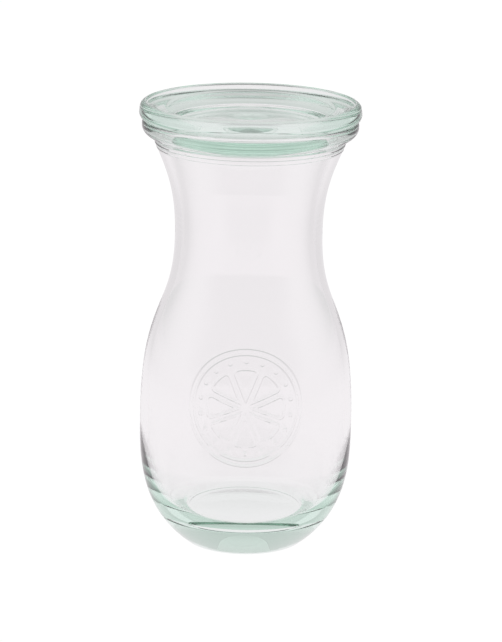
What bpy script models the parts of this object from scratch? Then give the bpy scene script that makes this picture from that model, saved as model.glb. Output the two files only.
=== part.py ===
"""Glass juice bottle with a narrow waist, a wide mouth and a loose glass lid.

Two pieces of pressed glass, both turned about the same upright axis.
Metres, +Z up, the origin on the axis at the height of the face that the bottle stands on.
"""

from math import cos, pi, radians, sin, tau

import bpy
from mathutils import Vector
from mathutils.geometry import interpolate_bezier

# Fineness of the turned shapes
TURN_STEPS = 64
SHOULDER_POINTS = 12
LONG_CURVE_POINTS = 8
SHORT_CURVE_POINTS = 5
EDGE_POINTS = 3

# Wall of the bottle
BELLY_WALL = 0.0021
NECK_WALL = 0.0021

# Foot: a flat bearing ring round a shallow push-up
BEARING_RADIUS = 0.0193
BEARING_WIDTH = 0.0012
PUSH_UP_HEIGHT = 0.0005
PUSH_UP_START_SHARES = (0.34, 0.13)
PUSH_UP_END_SHARE = 0.54

# Floor inside: highest in the middle
FLOOR_HEIGHT = 0.0102
FLOOR_CROWN = 0.0003
FLOOR_RADIUS = 0.0200
FLOOR_SHARES = (0.40, 0.30)

# Heel: the round sweep from the bearing ring up to the belly
HEEL_START_SHARES = (0.93, 0.28)
HEEL_END_SHARE = 0.36
INNER_HEEL_START_SHARES = (0.62, 0.04)
INNER_HEEL_END_SHARE = 0.55

# Belly, waist, and the long shoulder between them
BELLY_RADIUS = 0.0335
BELLY_HEIGHT = 0.0369
BELLY_BAND = 0.0031
SHOULDER_SHARES = (0.64, 0.43)
WAIST_RADIUS = 0.0230
WAIST_HEIGHT = 0.0995

# Neck: the flare above the waist, and the upright collar that it ends in
FLARE_TILT = radians(23.5)
FLARE_SHARES = (0.46, 0.34)
COLLAR_RADIUS = 0.0294
COLLAR_HEIGHT = 0.0016
NECK_TOP_RADIUS = 0.0270

# Rim: the thick round lip that the lid rests on, with a mouth that flares at the top
BOTTLE_HEIGHT = 0.1352
MOUTH_RADIUS = 0.0265
MOUTH_FLARE_WIDTH = 0.0036
MOUTH_FLARE_DEPTH = 0.0016
MOUTH_FLARE_SHARE = 0.32
FLARE_PULL = 0.66
RIM_RADIUS = 0.0335
RIM_HEIGHT = 0.0058
RIM_WIDEST_BELOW_TOP = 0.0018
RIM_UNDERSIDE_TILT = radians(22)
RIM_UNDERSIDE_SHARES = (0.55, 0.45)
RIM_EDGE = 0.0011

# Lid: a dished plate with a round recess, whose plug drops into the mouth
SEAT_CLEARANCE = 0.0003
PLUG_CLEARANCE = 0.0022
LID_HEIGHT = 0.0052
LID_OVERHANG = 0.0009
LID_WIDEST_ABOVE_SEAT = 0.0021
LID_TOP_INSET = 0.0002
LID_SEAT_INSET = 0.0013
LID_EDGE = 0.0018
DISH_RADIUS = 0.0259
DISH_DROP = 0.0017
PANEL_RADIUS = 0.0242
PANEL_DEPTH = 0.0055
PLUG_DEPTH = 0.0058
PLUG_TAPER = 0.0011
PLUG_EDGE = 0.0003
PLUG_WIDTH = 0.0039
POCKET_DEPTH = 0.0018
POCKET_SLOPE_WIDTH = 0.0003

# Heights and radii that follow from the sizes above
COLLAR_TOP = BOTTLE_HEIGHT - RIM_HEIGHT
COLLAR_FOOT = COLLAR_TOP - COLLAR_HEIGHT
LID_SEAT = BOTTLE_HEIGHT + SEAT_CLEARANCE
LID_RADIUS = RIM_RADIUS + LID_OVERHANG
LID_TOP = LID_SEAT + LID_HEIGHT
PLUG_RADIUS = MOUTH_RADIUS - PLUG_CLEARANCE


def along(start, start_handle, end_handle, end, points):
    """Points of one smooth curve, without its first one."""
    knots = [Vector((*point, 0)) for point in (start, start_handle, end_handle, end)]
    return [tuple(point[:2]) for point in interpolate_bezier(*knots, points + 1)[1:]]


def rounded(centre, radius, first_angle, last_angle):
    """Points of a round edge, from one angle to the other about its centre."""
    turn = last_angle - first_angle
    angles = [first_angle + turn * step / EDGE_POINTS for step in range(EDGE_POINTS + 1)]
    return [(centre[0] + radius * cos(angle), centre[1] + radius * sin(angle)) for angle in angles]


def step_from(point, tilt, distance):
    """The point at a distance from another, on a line that leans outwards by tilt."""
    return point[0] + distance * sin(tilt), point[1] + distance * cos(tilt)


def side(belly_radius, waist_radius, top_radius):
    """The wall from the belly up to the collar's foot, outside or inside."""
    belly = (belly_radius, BELLY_HEIGHT + BELLY_BAND)
    waist = (waist_radius, WAIST_HEIGHT)
    flare_top = (top_radius, COLLAR_FOOT)
    shoulder_rise = WAIST_HEIGHT - belly[1]
    flare_rise = COLLAR_FOOT - WAIST_HEIGHT
    points = [(belly[0], BELLY_HEIGHT), belly]
    points += along(belly,
                    step_from(belly, 0, shoulder_rise * SHOULDER_SHARES[0]),
                    step_from(waist, 0, -shoulder_rise * SHOULDER_SHARES[1]),
                    waist, SHOULDER_POINTS)
    points += along(waist,
                    step_from(waist, 0, flare_rise * FLARE_SHARES[0]),
                    step_from(flare_top, FLARE_TILT, -flare_rise * FLARE_SHARES[1]),
                    flare_top, LONG_CURVE_POINTS)
    return points


def outer_heel():
    """The outside from the bearing ring's edge up to the belly."""
    start = (BEARING_RADIUS, 0)
    end = (BELLY_RADIUS, BELLY_HEIGHT)
    run = BELLY_RADIUS - BEARING_RADIUS
    start_handle = (BEARING_RADIUS + run * HEEL_START_SHARES[0], BELLY_HEIGHT * HEEL_START_SHARES[1])
    end_handle = (BELLY_RADIUS, BELLY_HEIGHT * (1 - HEEL_END_SHARE))
    return [start] + along(start, start_handle, end_handle, end, LONG_CURVE_POINTS)[:-1]


def inner_heel():
    """The inside from the middle of the floor out and up to the belly."""
    middle = (0, FLOOR_HEIGHT)
    floor_edge = (FLOOR_RADIUS, FLOOR_HEIGHT - FLOOR_CROWN)
    end = (BELLY_RADIUS - BELLY_WALL, BELLY_HEIGHT)
    run = end[0] - floor_edge[0]
    rise = end[1] - floor_edge[1]
    points = [middle]
    points += along(middle,
                    (FLOOR_RADIUS * FLOOR_SHARES[0], middle[1]),
                    (FLOOR_RADIUS * (1 - FLOOR_SHARES[1]), floor_edge[1]),
                    floor_edge, SHORT_CURVE_POINTS)
    points += along(floor_edge,
                    (floor_edge[0] + run * INNER_HEEL_START_SHARES[0],
                     floor_edge[1] + rise * INNER_HEEL_START_SHARES[1]),
                    (end[0], end[1] - rise * INNER_HEEL_END_SHARE),
                    end, LONG_CURVE_POINTS)[:-1]
    return points


def rim():
    """The lip, from the mouth over the top and down to the collar."""
    widest = (RIM_RADIUS, BOTTLE_HEIGHT - RIM_WIDEST_BELOW_TOP)
    collar_top = (COLLAR_RADIUS, COLLAR_TOP)
    drop = widest[1] - COLLAR_TOP
    flare_foot = Vector((MOUTH_RADIUS, BOTTLE_HEIGHT - MOUTH_FLARE_DEPTH))
    flare_top = Vector((MOUTH_RADIUS + MOUTH_FLARE_WIDTH, BOTTLE_HEIGHT))
    bulge = Vector((MOUTH_RADIUS, BOTTLE_HEIGHT)).lerp((flare_top.x, flare_foot.y), MOUTH_FLARE_SHARE)
    points = [tuple(flare_foot)]
    points += along(flare_foot, flare_foot.lerp(bulge, FLARE_PULL), flare_top.lerp(bulge, FLARE_PULL),
                    flare_top, SHORT_CURVE_POINTS)
    points += rounded((RIM_RADIUS - RIM_EDGE, BOTTLE_HEIGHT - RIM_EDGE), RIM_EDGE, pi / 2, 0)
    points += [widest]
    points += along(widest,
                    step_from(widest, 0, -drop * RIM_UNDERSIDE_SHARES[0]),
                    step_from(collar_top, pi / 2 - RIM_UNDERSIDE_TILT, drop * RIM_UNDERSIDE_SHARES[1]),
                    collar_top, SHORT_CURVE_POINTS)
    return points


def foot():
    """The underside, from the bearing ring in to the axis."""
    bearing_inner = BEARING_RADIUS - BEARING_WIDTH
    return [(bearing_inner, 0)] + along(
        (bearing_inner, 0),
        (bearing_inner * (1 - PUSH_UP_START_SHARES[0]), PUSH_UP_HEIGHT * PUSH_UP_START_SHARES[1]),
        (bearing_inner * PUSH_UP_END_SHARE, PUSH_UP_HEIGHT),
        (0, PUSH_UP_HEIGHT), LONG_CURVE_POINTS)


def bottle_outline():
    """Inside from the floor to the mouth, then outside from the rim to the foot."""
    inside = inner_heel() + side(BELLY_RADIUS - BELLY_WALL, WAIST_RADIUS - NECK_WALL, NECK_TOP_RADIUS)
    outside = outer_heel() + side(BELLY_RADIUS, WAIST_RADIUS, COLLAR_RADIUS)
    return inside + rim() + outside[::-1] + foot()


def lid_outline():
    """Top from the axis to the edge, then underside from the edge to the axis."""
    widest = (LID_RADIUS, LID_SEAT + LID_WIDEST_ABOVE_SEAT)
    panel_top = LID_TOP - PANEL_DEPTH
    plug_foot = LID_SEAT - PLUG_DEPTH
    plug_outer = PLUG_RADIUS - PLUG_TAPER
    plug_inner = plug_outer - PLUG_WIDTH
    pocket_top = plug_foot + POCKET_DEPTH
    points = [(0, panel_top), (PANEL_RADIUS, panel_top), (DISH_RADIUS, LID_TOP - DISH_DROP)]
    points += rounded((LID_RADIUS - LID_TOP_INSET - LID_EDGE, LID_TOP - LID_EDGE), LID_EDGE, pi / 2, 0)
    points += [widest]
    points += along(widest,
                    (LID_RADIUS, (widest[1] + LID_SEAT) / 2),
                    ((LID_RADIUS + widest[0] - LID_SEAT_INSET) / 2, LID_SEAT),
                    (LID_RADIUS - LID_SEAT_INSET, LID_SEAT), SHORT_CURVE_POINTS)
    points += [(PLUG_RADIUS, LID_SEAT)]
    points += rounded((plug_outer - PLUG_EDGE, plug_foot + PLUG_EDGE), PLUG_EDGE, 0, -pi / 2)
    points += rounded((plug_inner + PLUG_EDGE, plug_foot + PLUG_EDGE), PLUG_EDGE, -pi / 2, -pi)
    points += [(plug_inner - POCKET_SLOPE_WIDTH, pocket_top), (0, pocket_top)]
    return points


def glass(name, colour, roughness):
    """A clear glass with a tint."""
    material = bpy.data.materials.new(name)
    material.use_nodes = True
    shader = material.node_tree.nodes["Principled BSDF"]
    shader.inputs["Base Color"].default_value = (*colour, 1)
    shader.inputs["Metallic"].default_value = 0
    shader.inputs["Roughness"].default_value = roughness
    shader.inputs["IOR"].default_value = 1.52
    shader.inputs["Transmission Weight"].default_value = 1
    return material


def turned(name, outline, material, collection):
    """A solid of revolution from a half outline whose two ends lie on the axis."""
    mesh = bpy.data.meshes.new(name)
    points = [(radius, 0, height) for radius, height in outline]
    mesh.from_pydata(points, [(index, index + 1) for index in range(len(points) - 1)], [])
    mesh.materials.append(material)
    piece = bpy.data.objects.new(name, mesh)
    collection.objects.link(piece)
    screw = piece.modifiers.new("Turn about the axis", "SCREW")
    screw.axis = "Z"
    screw.angle = tau
    screw.steps = TURN_STEPS
    screw.render_steps = TURN_STEPS
    screw.use_merge_vertices = True
    screw.merge_threshold = 0.00001
    screw.use_smooth_shade = True
    return piece


for leftover in list(bpy.data.objects):
    bpy.data.objects.remove(leftover)

juice_bottle = bpy.data.collections.new("juice_bottle")
bpy.context.scene.collection.children.link(juice_bottle)

bottle = turned("bottle", bottle_outline(), glass("bottle_glass", (0.90, 0.95, 0.93), 0.03), juice_bottle)
lid = turned("lid", lid_outline(), glass("lid_glass", (0.86, 0.94, 0.91), 0.03), juice_bottle)
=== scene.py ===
"""Looks of the glass juice bottle: a finely turned bottle and lid of clear glass replace the CAD ones.

Metres, +Z up, front towards -Y. The origin is on the axis, at the height of the face that the
bottle stands on.
"""

from math import atan2, cos, hypot, pi, radians, sin, tau

import bpy
from mathutils import Matrix, Vector
from mathutils.geometry import interpolate_bezier


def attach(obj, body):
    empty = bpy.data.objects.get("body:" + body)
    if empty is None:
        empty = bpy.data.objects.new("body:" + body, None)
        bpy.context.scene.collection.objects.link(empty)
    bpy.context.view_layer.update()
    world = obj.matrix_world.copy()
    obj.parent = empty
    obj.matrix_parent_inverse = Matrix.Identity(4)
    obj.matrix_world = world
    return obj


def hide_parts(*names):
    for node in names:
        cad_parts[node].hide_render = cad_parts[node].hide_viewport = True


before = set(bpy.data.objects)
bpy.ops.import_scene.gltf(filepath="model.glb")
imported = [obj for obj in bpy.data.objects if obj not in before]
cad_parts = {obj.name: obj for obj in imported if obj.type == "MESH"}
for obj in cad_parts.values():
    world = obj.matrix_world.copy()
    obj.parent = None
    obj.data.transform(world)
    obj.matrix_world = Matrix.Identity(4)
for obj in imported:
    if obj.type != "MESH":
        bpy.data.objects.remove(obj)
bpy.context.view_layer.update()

# The camera looks down at the bottle from the front, from about arm's length, with a long lens.
# The bottle leans a little to the right in the picture, so the camera is turned by as much.
CAMERA_DISTANCE = 0.850
CAMERA_PITCH = radians(15.2)
CAMERA_AIM_HEIGHT = 0.07074
CAMERA_SIDESTEP = 0.00119
CAMERA_ROLL = radians(1.0)
CAMERA_LENS_MM = 151.6
CAMERA_SENSOR_MM = 36

bpy.ops.object.camera_add(location=(
    CAMERA_SIDESTEP,
    -CAMERA_DISTANCE * cos(CAMERA_PITCH),
    CAMERA_AIM_HEIGHT + CAMERA_DISTANCE * sin(CAMERA_PITCH)))
camera = bpy.context.object
camera.rotation_mode = "QUATERNION"
camera.rotation_quaternion = (Matrix.Rotation(pi / 2 - CAMERA_PITCH, 3, "X")
                              @ Matrix.Rotation(CAMERA_ROLL, 3, "Z")).to_quaternion()
camera.data.lens = CAMERA_LENS_MM
camera.data.sensor_width = CAMERA_SENSOR_MM
bpy.context.scene.camera = camera


# The studio: a pale table that runs out of sight and glows as painted light, with painted shade that
# dims its glow towards the camera and at the sides, and a plain soft room round it, brightest at the
# sides. The camera itself sees all of it as white.
class Term:
    """A shader socket that Python's arithmetic turns into Math nodes."""

    def __init__(self, tree, socket):
        self.tree = tree
        self.socket = socket

    def node(self, kind, settings=(), inputs=(), output=0):
        """Adds a node, with its settings first and then the values or links of its sockets."""
        made = self.tree.nodes.new(kind)
        for name, value in dict(settings).items():
            setattr(made, name, value)
        for name, value in dict(inputs).items():
            if isinstance(value, Term):
                self.tree.links.new(value.socket, made.inputs[name])
            else:
                made.inputs[name].default_value = value
        return Term(self.tree, made.outputs[output])

    def maths(self, operation, *values):
        return self.node("ShaderNodeMath", {"operation": operation}, dict(enumerate((self, *values))))

    def __add__(self, other):
        return self.maths("ADD", other)

    __radd__ = __add__

    def __mul__(self, other):
        return self.maths("MULTIPLY", other)

    __rmul__ = __mul__

    def __sub__(self, other):
        return self.maths("SUBTRACT", other)

    def __rsub__(self, other):
        return self * -1 + other

    def __truediv__(self, other):
        return self.maths("DIVIDE", other)

    def rise(self, low, high):
        """0 below low, 1 above high, and smooth between them, or the reverse where low is higher."""
        if low > high:
            return 1 - self.rise(high, low)
        return self.node("ShaderNodeMapRange", {"interpolation_type": "SMOOTHSTEP"},
                         {"Value": self, "From Min": low, "From Max": high})

    def dot(self, direction):
        return self.node("ShaderNodeVectorMath", {"operation": "DOT_PRODUCT"},
                         {0: self, 1: direction}, "Value")

    def length(self):
        return self.node("ShaderNodeVectorMath", {"operation": "LENGTH"}, {0: self}, "Value")

    def drive(self, output_kind):
        """Links the term to the surface of its tree's output."""
        output = self.tree.nodes.new(output_kind)
        self.tree.links.new(self.socket, output.inputs["Surface"])


def emptied(data):
    """A material's or a world's node tree with nothing in it yet."""
    data.use_nodes = True
    data.node_tree.nodes.clear()
    return Term(data.node_tree, None)


FLOOR_RADIUS = 6.0
FLOOR_SIDES = 128
FLOOR_GAP = 0.0001
SEEN_WHITE = 1.02
WHITE = (1, 1, 1, 1)
TABLE_GLOW_COLOUR = (1.04, 0.99, 1.02, 1)
TABLE_LIGHT = 0.88
TABLE_FRONT_LIGHT = 0.62
TABLE_FRONT_START, TABLE_FRONT_FULL = 0.10, 0.22
TABLE_FRONT_COSINES = (0.64, 0.96)
TABLE_SIDE_LIGHT = 0.74
TABLE_SIDE_START, TABLE_SIDE_FULL = 0.18, 0.45
TABLE_SIDE_COSINES = (0.995, 0.96)
ROOM_LIGHT = 0.25
SIDE_LIGHT = 0.74
SIDE_START, SIDE_FULL = -0.8, -0.2
BACKDROP_LIGHT = 0.62
BACKDROP_START, BACKDROP_FULL = 0.0, 0.6
BACKDROP_LOW, BACKDROP_HIGH = 0.28, 0.50
CEILING_LIGHT = 0.42
CEILING_SINES = (0.81, 1.00)
MOST_BOUNCES = 32
MOST_GLOSSY_BOUNCES = 16

world = bpy.data.worlds.new("studio")
bpy.context.scene.world = world
studio = emptied(world)
sight = studio.node("ShaderNodeTexCoord", output="Generated")
upward = sight.dot((0, 0, 1))
backward = sight.dot((0, 1, 0))
room = ROOM_LIGHT + (SIDE_LIGHT - ROOM_LIGHT) * backward.rise(SIDE_START, SIDE_FULL)
backdrop = backward.rise(BACKDROP_START, BACKDROP_FULL) * upward.rise(BACKDROP_HIGH, BACKDROP_LOW)
shine = room + (BACKDROP_LIGHT - room) * backdrop
shine = shine + (CEILING_LIGHT - shine) * upward.rise(*CEILING_SINES)
strength = shine + (SEEN_WHITE - shine) * studio.node("ShaderNodeLightPath", output="Is Camera Ray")
background = studio.node("ShaderNodeBackground", (), {"Color": WHITE, "Strength": strength})
background.drive("ShaderNodeOutputWorld")

bpy.ops.object.select_all(action="DESELECT")
bpy.ops.mesh.primitive_circle_add(
    vertices=FLOOR_SIDES, radius=FLOOR_RADIUS, fill_type="NGON", location=(0, 0, -FLOOR_GAP))
floor = bpy.context.object
floor.name = "floor"
# The floor is no lamp but glows, as painted light: white to the camera, and to the glass a tinted
# glow.
floor_glow_material = bpy.data.materials.new("floor_painted_glow")
table = emptied(floor_glow_material)
place = table.node("ShaderNodeTexCoord", output="Object")
away = place.length()
# Painted shade: the floor's glow is made dimmer in front, towards the camera, and at the sides.
front = (place.dot((0, -1, 0)) / away).rise(*TABLE_FRONT_COSINES)
front = front * away.rise(TABLE_FRONT_START, TABLE_FRONT_FULL)
aside = (place.dot((0, 1, 0)) / away).rise(*TABLE_SIDE_COSINES)
aside = aside * away.rise(TABLE_SIDE_START, TABLE_SIDE_FULL)
shine = TABLE_LIGHT + (TABLE_SIDE_LIGHT - TABLE_LIGHT) * aside
shine = shine + (TABLE_FRONT_LIGHT - shine) * front
seen = table.node("ShaderNodeLightPath", output="Is Camera Ray")
strength = shine + (SEEN_WHITE - shine) * seen
colour = table.node("ShaderNodeMix", {"data_type": "RGBA"}, {0: seen, 6: TABLE_GLOW_COLOUR, 7: WHITE}, 2)
glow = table.node("ShaderNodeEmission", (), {"Color": colour, "Strength": strength})
glow.drive("ShaderNodeOutputMaterial")
floor.data.materials.append(floor_glow_material)
bpy.context.scene.view_settings.view_transform = "Standard"
bpy.context.scene.cycles.max_bounces = MOST_BOUNCES
bpy.context.scene.cycles.transmission_bounces = MOST_BOUNCES
bpy.context.scene.cycles.glossy_bounces = MOST_GLOSSY_BOUNCES

# The bottle: one piece of clear pressed glass. Its outline is drawn from the middle of the floor
# inside, up to the mouth, over the rim and down the outside to the foot, and turned about the axis.
STEPS_ROUND = 192
SEED_SIZE = 0.001
MERGE_DISTANCE = 0.000001
BRACED_LENGTH, BRACE = 0.0018, 0.00008
BELLY_WALL = 0.0021
NECK_WALL = 0.0021
BEARING_RADIUS = 0.0193
BEARING_WIDTH = 0.0012
KNURL_INSET = 0.0003
PUSH_UP_HEIGHT = 0.0005
PUSH_UP_START_SHARES = (0.34, 0.13)
PUSH_UP_END_SHARE = 0.54
PUSH_UP_POINTS = 12
FLOOR_HEIGHT = 0.0102
FLOOR_CROWN = 0.0003
FLOOR_RADIUS_INSIDE = 0.0200
FLOOR_SHARES = (0.40, 0.30)
FLOOR_POINTS = 10
HEEL_START_SHARES = (0.93, 0.28)
HEEL_END_SHARE = 0.36
INNER_HEEL_START_SHARES = (0.62, 0.04)
INNER_HEEL_END_SHARE = 0.55
HEEL_POINTS = 40
BELLY_RADIUS = 0.0335
BELLY_HEIGHT = 0.0369
BELLY_BAND = 0.0031
SHOULDER_SHARES = (0.64, 0.43)
SHOULDER_POINTS = 40
WAIST_RADIUS = 0.0230
WAIST_HEIGHT = 0.0995
FLARE_TILT = radians(23.5)
FLARE_SHARES = (0.46, 0.34)
FLARE_POINTS = 18
COLLAR_RADIUS = 0.0294
COLLAR_HEIGHT = 0.0016
BOTTLE_HEIGHT = 0.1352
NECK_TOP_RADIUS = 0.0270
MOUTH_RADIUS = 0.0265
MOUTH_FLARE_WIDTH = 0.0036
MOUTH_FLARE_DEPTH = 0.0016
MOUTH_FLARE_SHARE = 0.32
MOUTH_FLARE_PULL = 0.66
MOUTH_FLARE_POINTS = 12
RIM_RADIUS = 0.0335
RIM_HEIGHT = 0.0058
RIM_WIDEST_BELOW_TOP = 0.0018
RIM_UNDERSIDE_TILT = radians(22)
RIM_UNDERSIDE_SHARES = (0.55, 0.45)
RIM_UNDERSIDE_POINTS = 14
RIM_EDGE = 0.0011
ROUND_EDGE_POINTS = 6
CORNER_POINTS = 5
CORNER_PULL = 0.6
SEAM_GAP = 0.0011
SEAM_WIDTH = 0.0007
SEAM_HEIGHT = 0.00012
SEAM_SHARES = (1, 0.67, 0.33, 0, -0.33, -0.67, -1)
COLLAR_TOP = BOTTLE_HEIGHT - RIM_HEIGHT
COLLAR_FOOT = COLLAR_TOP - COLLAR_HEIGHT


def along(start, start_handle, end_handle, end, points):
    """Points of one smooth curve, without its first one."""
    knots = [Vector((*point, 0)) for point in (start, start_handle, end_handle, end)]
    return [tuple(point[:2]) for point in interpolate_bezier(*knots, points + 1)[1:]]


def rounded(centre, radius, first_angle, last_angle):
    """Points of a round edge, from one angle to the other about its centre."""
    turn = last_angle - first_angle
    angles = [first_angle + turn * step / ROUND_EDGE_POINTS for step in range(ROUND_EDGE_POINTS + 1)]
    return [(centre[0] + radius * cos(angle), centre[1] + radius * sin(angle)) for angle in angles]


def step_from(point, tilt, distance):
    """The point at a distance from another, on a line that leans outwards by tilt."""
    return point[0] + distance * sin(tilt), point[1] + distance * cos(tilt)


def eased(corner, before, after, radius):
    """A corner between two straight lines, rounded off."""
    corner, before, after = Vector(corner), Vector(before), Vector(after)
    to_before = (before - corner).normalized()
    to_after = (after - corner).normalized()
    start, end = corner + to_before * radius, corner + to_after * radius
    handles = start.lerp(corner, CORNER_PULL), end.lerp(corner, CORNER_PULL)
    return [tuple(start)] + along(start, *handles, end, CORNER_POINTS)


def side(belly_radius, waist_radius, top_radius):
    """The wall from the belly up to the collar's foot, outside or inside."""
    belly = (belly_radius, BELLY_HEIGHT + BELLY_BAND)
    waist = (waist_radius, WAIST_HEIGHT)
    flare_top = (top_radius, COLLAR_FOOT)
    shoulder_rise = WAIST_HEIGHT - belly[1]
    flare_rise = COLLAR_FOOT - WAIST_HEIGHT
    points = [(belly[0], BELLY_HEIGHT), belly]
    points += along(belly,
                    step_from(belly, 0, shoulder_rise * SHOULDER_SHARES[0]),
                    step_from(waist, 0, -shoulder_rise * SHOULDER_SHARES[1]),
                    waist, SHOULDER_POINTS)
    points += along(waist,
                    step_from(waist, 0, flare_rise * FLARE_SHARES[0]),
                    step_from(flare_top, FLARE_TILT, -flare_rise * FLARE_SHARES[1]),
                    flare_top, FLARE_POINTS)
    return points


def outer_heel():
    """The outside from the bearing ring's edge up to the belly."""
    start = (BEARING_RADIUS, 0)
    end = (BELLY_RADIUS, BELLY_HEIGHT)
    run = BELLY_RADIUS - BEARING_RADIUS
    start_handle = (BEARING_RADIUS + run * HEEL_START_SHARES[0], BELLY_HEIGHT * HEEL_START_SHARES[1])
    end_handle = (BELLY_RADIUS, BELLY_HEIGHT * (1 - HEEL_END_SHARE))
    return [start] + along(start, start_handle, end_handle, end, HEEL_POINTS)[:-1]


def inner_heel():
    """The inside from the middle of the floor out and up to the belly."""
    middle = (0, FLOOR_HEIGHT)
    floor_edge = (FLOOR_RADIUS_INSIDE, FLOOR_HEIGHT - FLOOR_CROWN)
    end = (BELLY_RADIUS - BELLY_WALL, BELLY_HEIGHT)
    run = end[0] - floor_edge[0]
    rise = end[1] - floor_edge[1]
    points = [middle]
    points += along(middle,
                    (FLOOR_RADIUS_INSIDE * FLOOR_SHARES[0], middle[1]),
                    (FLOOR_RADIUS_INSIDE * (1 - FLOOR_SHARES[1]), floor_edge[1]),
                    floor_edge, FLOOR_POINTS)
    points += along(floor_edge,
                    (floor_edge[0] + run * INNER_HEEL_START_SHARES[0],
                     floor_edge[1] + rise * INNER_HEEL_START_SHARES[1]),
                    (end[0], end[1] - rise * INNER_HEEL_END_SHARE),
                    end, HEEL_POINTS)[:-1]
    return points


def rim():
    """The lip, from the mouth over the top and down to the collar."""
    widest = (RIM_RADIUS, BOTTLE_HEIGHT - RIM_WIDEST_BELOW_TOP)
    collar_top = (COLLAR_RADIUS, COLLAR_TOP)
    drop = widest[1] - COLLAR_TOP
    flare_foot = Vector((MOUTH_RADIUS, BOTTLE_HEIGHT - MOUTH_FLARE_DEPTH))
    flare_top = Vector((MOUTH_RADIUS + MOUTH_FLARE_WIDTH, BOTTLE_HEIGHT))
    bulge = Vector((MOUTH_RADIUS, BOTTLE_HEIGHT)).lerp((flare_top.x, flare_foot.y), MOUTH_FLARE_SHARE)
    points = [tuple(flare_foot)]
    points += along(flare_foot,
                    flare_foot.lerp(bulge, MOUTH_FLARE_PULL),
                    flare_top.lerp(bulge, MOUTH_FLARE_PULL),
                    flare_top, MOUTH_FLARE_POINTS)
    points += rounded((RIM_RADIUS - RIM_EDGE, BOTTLE_HEIGHT - RIM_EDGE), RIM_EDGE, pi / 2, 0)
    points += [widest]
    points += along(widest,
                    step_from(widest, 0, -drop * RIM_UNDERSIDE_SHARES[0]),
                    step_from(collar_top, pi / 2 - RIM_UNDERSIDE_TILT, drop * RIM_UNDERSIDE_SHARES[1]),
                    collar_top, RIM_UNDERSIDE_POINTS)
    return points


def seam(middle, tilt):
    """A fine ridge across a wall that leans outwards by tilt, from its upper edge to its lower one."""
    points = []
    for share in SEAM_SHARES:
        point = step_from(middle, tilt, share * SEAM_WIDTH / 2)
        stand = SEAM_HEIGHT * (1 - share * share) ** 2
        points.append((point[0] + stand * cos(tilt), point[1] - stand * sin(tilt)))
    return points


def collar():
    """The collar's lower end and the flare's top, with the two seams that the rim's mould leaves."""
    lower_seam_middle = step_from((COLLAR_RADIUS, COLLAR_FOOT), FLARE_TILT, -SEAM_GAP)
    return (seam((COLLAR_RADIUS, COLLAR_FOOT + SEAM_WIDTH / 2), 0)
            + seam(lower_seam_middle, FLARE_TILT))


def foot():
    """The underside, from the bearing ring in to the axis."""
    bearing_inner = BEARING_RADIUS - BEARING_WIDTH
    ring = [(BEARING_RADIUS - KNURL_INSET, 0), (bearing_inner + KNURL_INSET, 0), (bearing_inner, 0)]
    return ring + along(
        (bearing_inner, 0),
        (bearing_inner * (1 - PUSH_UP_START_SHARES[0]), PUSH_UP_HEIGHT * PUSH_UP_START_SHARES[1]),
        (bearing_inner * PUSH_UP_END_SHARE, PUSH_UP_HEIGHT),
        (0, PUSH_UP_HEIGHT), PUSH_UP_POINTS)


def braced(outline):
    """The outline with a point near each end of its long straight lines, which keeps flats flat."""
    points = [outline[0]]
    for start, end in zip(outline, outline[1:]):
        start, end = Vector(start), Vector(end)
        length = (end - start).length
        if length > BRACED_LENGTH:
            points += [tuple(start.lerp(end, share)) for share in (BRACE / length, 1 - BRACE / length)]
        if length > 0:
            points.append(tuple(end))
    return points


def turned(name, outline):
    """A body of revolution: the outline is drawn point by point and spun about the axis."""
    outline = braced(outline)
    bpy.ops.object.select_all(action="DESELECT")
    bpy.ops.mesh.primitive_plane_add(size=SEED_SIZE, location=(outline[0][0], 0, outline[0][1]))
    piece = bpy.context.object
    piece.name = piece.data.name = name
    bpy.ops.object.transform_apply(location=True)
    bpy.ops.object.mode_set(mode="EDIT")
    bpy.ops.mesh.merge(type="CENTER")
    for (radius, height), (next_radius, next_height) in zip(outline, outline[1:]):
        bpy.ops.mesh.extrude_region_move(
            TRANSFORM_OT_translate={"value": (next_radius - radius, 0, next_height - height)})
    bpy.ops.mesh.select_all(action="SELECT")
    bpy.ops.mesh.spin(steps=STEPS_ROUND, angle=tau, center=(0, 0, 0), axis=(0, 0, 1))
    bpy.ops.mesh.select_all(action="SELECT")
    bpy.ops.mesh.remove_doubles(threshold=MERGE_DISTANCE)
    bpy.ops.mesh.normals_make_consistent(inside=False)
    bpy.ops.mesh.faces_shade_smooth()
    bpy.ops.object.mode_set(mode="OBJECT")
    return piece


inside = inner_heel() + side(BELLY_RADIUS - BELLY_WALL, WAIST_RADIUS - NECK_WALL, NECK_TOP_RADIUS)
outside = outer_heel() + side(BELLY_RADIUS, WAIST_RADIUS, COLLAR_RADIUS)
bottle = turned("glass_bottle", inside + rim() + collar() + outside[-2::-1] + foot())


# Its foot is knurled: every second ray of the bearing ring is pressed in a little, so that it grips
# and lets air out from under it.
KNURL_DEPTH = 0.00015
GROUND_TOLERANCE = 0.000015
RAYS_APART = 2


def weighted(piece, name, weight_at):
    """A vertex group whose weights are worked out from each vertex's place."""
    group = piece.vertex_groups.new(name=name)
    for vertex in piece.data.vertices:
        weight = weight_at(vertex)
        if weight > 0:
            group.add([vertex.index], weight, "REPLACE")


def pushed(piece, group, distance, direction="NORMAL"):
    """Moves the surface where the vertex group has weight."""
    bpy.ops.object.select_all(action="DESELECT")
    piece.select_set(True)
    bpy.context.view_layer.objects.active = piece
    push = piece.modifiers.new(group, "DISPLACE")
    push.vertex_group = group
    push.direction = direction
    push.mid_level = 0
    push.strength = distance
    bpy.ops.object.modifier_apply(modifier=push.name)


def knurl_at(vertex):
    ray = round(atan2(vertex.co.y, vertex.co.x) / tau * STEPS_ROUND)
    radius = hypot(vertex.co.x, vertex.co.y)
    ring_inner = BEARING_RADIUS - BEARING_WIDTH + KNURL_INSET / 2
    in_ring = ring_inner < radius < BEARING_RADIUS - KNURL_INSET / 2
    return float(in_ring and abs(vertex.co.z) < GROUND_TOLERANCE and ray % RAYS_APART)


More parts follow.
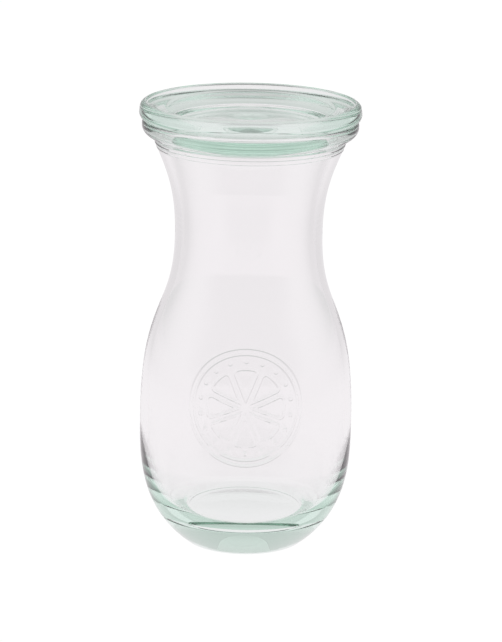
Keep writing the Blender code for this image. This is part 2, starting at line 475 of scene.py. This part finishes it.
weighted(bottle, "knurls", knurl_at)
pushed(bottle, "knurls", KNURL_DEPTH, "Z")

# The front carries a round medallion in thin raised lines, pressed with the glass: two rings with
# beads inside them and a cut fruit's slices in the middle. The glass along them is made finer first.
MEDALLION_MIDDLE = 0.0520
MEDALLION_RELIEF = 0.00045
LINE_HALF_WIDTH = 0.00010
LINE_SLOPE = 0.00045
FINER_REACHES = {0.0012: 2, 0.0008: 1}
RING_RADII = (0.0182, 0.0164)
BEADS = 18
BEADS_RADIUS = 0.0143
BEAD_RADIUS = 0.00030
SLICES = 8
SLICE_RADIUS = 0.0120
SLICE_GAP = 0.0018
SLICE_CORNER = 0.0014


def medallion_place(point):
    """Across and up from the medallion's middle, measured along the glass."""
    return atan2(point.x, -point.y) * hypot(point.x, point.y), point.z - MEDALLION_MIDDLE


def folded(turn, count):
    """The angle from the middle of the nearest of so many equal sectors."""
    return (turn + pi / count) % (tau / count) - pi / count


def to_line(point):
    """The distance along the glass to the nearest line of the medallion."""
    across, up = medallion_place(point)
    away, turn = hypot(across, up), atan2(across, up)
    bead_turn = folded(turn, BEADS)
    to_bead = hypot(away * cos(bead_turn) - BEADS_RADIUS, away * sin(bead_turn)) - BEAD_RADIUS
    to_side = away * sin(pi / SLICES - abs(folded(turn, SLICES))) - SLICE_GAP / 2
    to_rind = SLICE_RADIUS - away
    corner = hypot(max(SLICE_CORNER - to_side, 0), max(SLICE_CORNER - to_rind, 0))
    to_slice = abs(SLICE_CORNER - corner) if corner > 0 else min(to_side, to_rind)
    return min(*(abs(away - radius) for radius in RING_RADII), max(to_bead, 0), to_slice)


def on_front(face):
    return face.center.y < 0 and face.normal.xy.dot(face.center.xy) > 0


def raised_at(vertex):
    if vertex.index not in outer_front:
        return 0
    slope = min(max((to_line(vertex.co) - LINE_HALF_WIDTH) / LINE_SLOPE, 0), 1)
    return 1 - slope * slope * (3 - 2 * slope)


for reach, cuts in FINER_REACHES.items():
    bpy.ops.object.mode_set(mode="EDIT")
    bpy.ops.mesh.select_mode(type="FACE")
    bpy.ops.mesh.select_all(action="DESELECT")
    bpy.ops.object.mode_set(mode="OBJECT")
    for face in bottle.data.polygons:
        face.select = on_front(face) and to_line(face.center) < reach
    bpy.ops.object.mode_set(mode="EDIT")
    bpy.ops.mesh.subdivide(number_cuts=cuts, smoothness=1.0)
    bpy.ops.mesh.select_mode(type="VERT")
    bpy.ops.object.mode_set(mode="OBJECT")
outer_front = {index for face in bottle.data.polygons if on_front(face) for index in face.vertices}
weighted(bottle, "medallion", raised_at)
pushed(bottle, "medallion", MEDALLION_RELIEF)

# The glass itself is smooth all over, clear where it is thin and green where light goes a long way
# through it, as the iron in ordinary glass makes it.
GLASS_IOR = 1.52
GLASS_TINT = (0.0, 0.82, 0.44, 1)
BOTTLE_GLASS_DENSITY = 4


def clear_glass(name, density):
    """Smooth clear glass, whose green is the deeper the denser it is."""
    material = bpy.data.materials.new(name)
    material.use_nodes = True
    nodes = material.node_tree.nodes
    shader = nodes["Principled BSDF"]
    shader.inputs["Base Color"].default_value = WHITE
    shader.inputs["Roughness"].default_value = 0.0
    shader.inputs["IOR"].default_value = GLASS_IOR
    shader.inputs["Transmission Weight"].default_value = 1
    volume = nodes.new("ShaderNodeVolumeAbsorption")
    volume.inputs["Color"].default_value = GLASS_TINT
    volume.inputs["Density"].default_value = density
    material.node_tree.links.new(volume.outputs["Volume"], nodes["Material Output"].inputs["Volume"])
    return material


bottle.data.materials.append(clear_glass("bottle_glass_clear", BOTTLE_GLASS_DENSITY))
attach(bottle, "bottle")
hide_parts("bottle")

# The lid: one piece of pressed glass that lies loose on the rim, a dished plate with a thick edge,
# whose ring underneath drops into the mouth.
SEAT_CLEARANCE = 0.0003
PLUG_CLEARANCE = 0.0022
LID_HEIGHT = 0.0052
LID_OVERHANG = 0.0009
LID_WIDEST_ABOVE_SEAT = 0.0021
LID_TOP_INSET = 0.0002
LID_SEAT_INSET = 0.0013
LID_EDGE = 0.0018
LID_UNDERSIDE_POINTS = 10
DISH_RADIUS = 0.0259
DISH_DROP = 0.0017
DISH_EDGE = 0.0008
PANEL_RADIUS = 0.0242
PANEL_DEPTH = 0.0056
PANEL_DOME = 0.0004
PANEL_EDGE = 0.0007
PANEL_POINTS = 12
PLUG_DEPTH = 0.0058
PLUG_TAPER = 0.0011
PLUG_EDGE = 0.0003
PLUG_WIDTH = 0.0039
POCKET_DEPTH = 0.0018
POCKET_SLOPE_WIDTH = 0.0003
POCKET_EDGE = 0.0005
POCKET_DOME = 0.0004
LID_GLASS_DENSITY = 8
LID_SEAT = BOTTLE_HEIGHT + SEAT_CLEARANCE
LID_RADIUS = RIM_RADIUS + LID_OVERHANG
LID_TOP = LID_SEAT + LID_HEIGHT
PLUG_RADIUS = MOUTH_RADIUS - PLUG_CLEARANCE


def lid_outline():
    """Top from the axis to the edge, then underside from the edge to the axis."""
    panel_middle = (0, LID_TOP - PANEL_DEPTH + PANEL_DOME)
    panel_edge = (PANEL_RADIUS, LID_TOP - PANEL_DEPTH)
    dish_edge = (DISH_RADIUS, LID_TOP - DISH_DROP)
    widest = (LID_RADIUS, LID_SEAT + LID_WIDEST_ABOVE_SEAT)
    plug_top = (PLUG_RADIUS, LID_SEAT)
    plug_foot = (PLUG_RADIUS - PLUG_TAPER, LID_SEAT - PLUG_DEPTH)
    pocket_foot = (plug_foot[0] - PLUG_WIDTH, plug_foot[1])
    pocket_edge = (pocket_foot[0] - POCKET_SLOPE_WIDTH, plug_foot[1] + POCKET_DEPTH)
    pocket_middle = (0, pocket_edge[1] + POCKET_DOME)
    points = [panel_middle]
    points += along(panel_middle,
                    (PANEL_RADIUS / 3, panel_middle[1]),
                    (PANEL_RADIUS * 2 / 3, panel_edge[1] + PANEL_DOME * 2 / 3),
                    (PANEL_RADIUS - PANEL_EDGE, panel_edge[1]), PANEL_POINTS)[:-1]
    points += eased(panel_edge, (0, panel_edge[1]), dish_edge, PANEL_EDGE)
    points += eased(dish_edge, panel_edge, (LID_RADIUS, LID_TOP), DISH_EDGE)
    points += rounded((LID_RADIUS - LID_TOP_INSET - LID_EDGE, LID_TOP - LID_EDGE), LID_EDGE, pi / 2, 0)
    points += [widest]
    points += along(widest,
                    (LID_RADIUS, (widest[1] + LID_SEAT) / 2),
                    ((LID_RADIUS + widest[0] - LID_SEAT_INSET) / 2, LID_SEAT),
                    (LID_RADIUS - LID_SEAT_INSET, LID_SEAT), LID_UNDERSIDE_POINTS)
    points += eased(plug_top, (LID_RADIUS, LID_SEAT), plug_foot, PLUG_EDGE)
    points += eased(plug_foot, plug_top, pocket_foot, PLUG_EDGE)
    points += eased(pocket_foot, plug_foot, pocket_edge, POCKET_EDGE)
    points += eased(pocket_edge, pocket_foot, pocket_middle, POCKET_EDGE)
    points += [pocket_middle]
    return points


lid = turned("glass_lid", lid_outline())
lid.data.materials.append(clear_glass("lid_glass_clear", LID_GLASS_DENSITY))
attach(lid, "lid")
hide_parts("lid")
